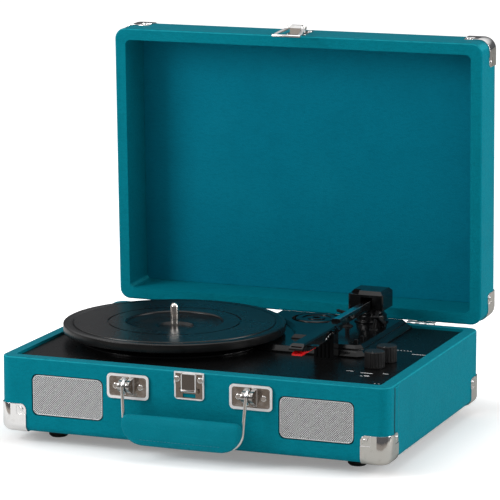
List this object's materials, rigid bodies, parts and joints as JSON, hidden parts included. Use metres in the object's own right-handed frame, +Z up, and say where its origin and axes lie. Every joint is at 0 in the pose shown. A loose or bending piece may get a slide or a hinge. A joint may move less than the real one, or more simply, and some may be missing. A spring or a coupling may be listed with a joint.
{
  "type": "suitcase record player",
  "caption": "Portable belt-drive record player in a hinged, wrapped suitcase with a tonearm, front speakers, a padded carrying handle and a latch.",
  "frame": {"origin": "on the spindle's axis, level with the top of the mat, where a record's centre sits", "axes": "+Z up along the spindle; +X to the right, along the front with the speakers; +Y to the back, towards the lid's hinges"},
  "size_m": [0.358, 0.332, 0.3435],
  "materials": {
    "leatherette": "satin",
    "lining_paper": "satin",
    "black_gloss": "glossy",
    "black_matte": "matte",
    "mat_rubber": "satin",
    "chrome": "polished",
    "steel": "brushed",
    "red_plastic": "glossy",
    "grille_weave": "woven",
    "cone_paper": "matte",
    "magnet": "matte",
    "brass": "turned",
    "board_green": "satin",
    "fibreboard": "matte",
    "foot_rubber": "matte",
    "aluminium": "satin"
  },
  "bodies": {
    "base": {"base_shell": "leatherette", "bottom_panel": "fibreboard", "rubber_feet": "foot_rubber", "jack_panel": "black_matte", "rear_sockets": "steel", "speaker_frames": "steel", "speaker_cones": "cone_paper", "speaker_magnets": "magnet", "left_grille": "grille_weave", "right_grille": "grille_weave", "left_handle_bracket": "chrome", "right_handle_bracket": "chrome", "deck_panel": "black_gloss", "chassis_plate": "black_gloss", "spindle_bearing": "brass", "motor": "steel", "drive_belt": "mat_rubber", "arm_turret": "black_gloss", "cue_bracket": "black_matte", "arm_rest": "black_matte", "control_pots": "steel", "circuit_board": "board_green", "board_parts": "aluminium", "base_guards": "chrome", "hinge_leaves_base": "chrome", "latch_plate": "chrome", "case_screws": "chrome", "steel_pins": "steel"},
    "lid": {"lid_shell": "leatherette", "lid_lining": "lining_paper", "lid_guards": "chrome", "hinge_leaves_lid": "chrome", "hasp_plate": "chrome", "hasp_pin": "steel", "lid_screws": "chrome"},
    "hasp": {"hasp_loop": "chrome"},
    "turntable": {"platter": "black_gloss", "platter_mat": "mat_rubber", "spindle": "chrome"},
    "pulley": {"motor_pulley": "brass"},
    "arm_mount": {"arm_shaft": "steel", "arm_housing": "black_gloss", "arm_pin": "steel"},
    "arm": {"arm_tube": "black_gloss", "headshell": "black_gloss", "cartridge": "black_matte", "stylus": "red_plastic"},
    "lift": {"lift_bar": "black_matte"},
    "cue": {"cue_lever": "black_matte"},
    "clip": {"arm_clip": "black_matte"},
    "volume": {"volume_knob": "black_gloss", "volume_shaft": "steel"},
    "tone": {"tone_knob": "black_gloss", "tone_shaft": "steel"},
    "speed": {"speed_selector": "black_matte"},
    "stop": {"stop_switch": "black_matte"},
    "handle": {"handle_wire": "chrome", "handle_grip": "leatherette"},
    "latch": {"latch_flap": "chrome"},
    "adapter": {"disc_adapter": "black_gloss"}
  },
  "joints": [
    {"name": "lid_hinge", "type": "hinge", "parent": "base", "child": "lid", "pos_m": [0.066, 0.1329, -0.01535], "axis": [-1, 0, 0], "range_deg": [-88.2, 6]},
    {"name": "hasp_swing", "type": "hinge", "parent": "lid", "child": "hasp", "pos_m": [0.066, 0.13209, 0.25066], "axis": [-1, 0, 0], "range_deg": [0, 110]},
    {"name": "platter_spin", "type": "hinge", "parent": "base", "child": "turntable", "pos_m": [0, 0, 0], "axis": [0, 0, -1], "continuous": true},
    {"name": "pulley_spin", "type": "hinge", "parent": "base", "child": "pulley", "pos_m": [-0.04925, 0.06304, -0.008], "axis": [0, 0, -1], "continuous": true},
    {"name": "tonearm_swing", "type": "hinge", "parent": "base", "child": "arm_mount", "pos_m": [0.152, 0.097, -0.0075], "axis": [0, 0, -1], "range_deg": [0, 40]},
    {"name": "tonearm_lift", "type": "hinge", "parent": "arm_mount", "child": "arm", "pos_m": [0.152, 0.097, 0.0095], "axis": [-1, 0, 0], "range_deg": [0, 9]},
    {"name": "lift_bar_rise", "type": "slide", "parent": "base", "child": "lift", "axis": [0, 0, 1], "range_m": [0, 0.005]},
    {"name": "cue_lever_turn", "type": "hinge", "parent": "base", "child": "cue", "pos_m": [0.1707, 0.075, -0.0045], "axis": [-1, 0, 0], "range_deg": [0, 46]},
    {"name": "clip_close", "type": "hinge", "parent": "base", "child": "clip", "pos_m": [0.1603, -0.0255, 0.0075], "axis": [0, -1, 0], "range_deg": [0, 50]},
    {"name": "volume_turn", "type": "hinge", "parent": "base", "child": "volume", "pos_m": [0.203, -0.044, -0.0165], "axis": [0, 0, -1], "range_deg": [0, 300]},
    {"name": "tone_turn", "type": "hinge", "parent": "base", "child": "tone", "pos_m": [0.2055, -0.019, -0.0165], "axis": [0, 0, -1], "range_deg": [0, 300]},
    {"name": "speed_slide", "type": "slide", "parent": "base", "child": "speed", "axis": [0, 1, 0], "range_m": [0, 0.006]},
    {"name": "stop_slide", "type": "slide", "parent": "base", "child": "stop", "axis": [0, 1, 0], "range_m": [0, 0.006]},
    {"name": "handle_swing", "type": "hinge", "parent": "base", "child": "handle", "pos_m": [0.066, -0.135, -0.0295], "axis": [-1, 0, 0], "range_deg": [0, 100]},
    {"name": "latch_tip", "type": "hinge", "parent": "base", "child": "latch", "pos_m": [0.066, -0.1287, -0.0304], "axis": [1, 0, 0], "range_deg": [0, 60]},
    {"name": "adapter_lift_out", "type": "slide", "parent": "base", "child": "adapter", "axis": [0, 0, 1], "range_m": [0, 0.03]}
  ],
  "couplings": [
    {"joint": "pulley_spin", "follows": "platter_spin", "ratio": 12.4},
    {"joint": "lift_bar_rise", "follows": "tonearm_lift", "m_per_rad": 0.031},
    {"joint": "cue_lever_turn", "follows": "tonearm_lift", "ratio": 5}
  ]
}
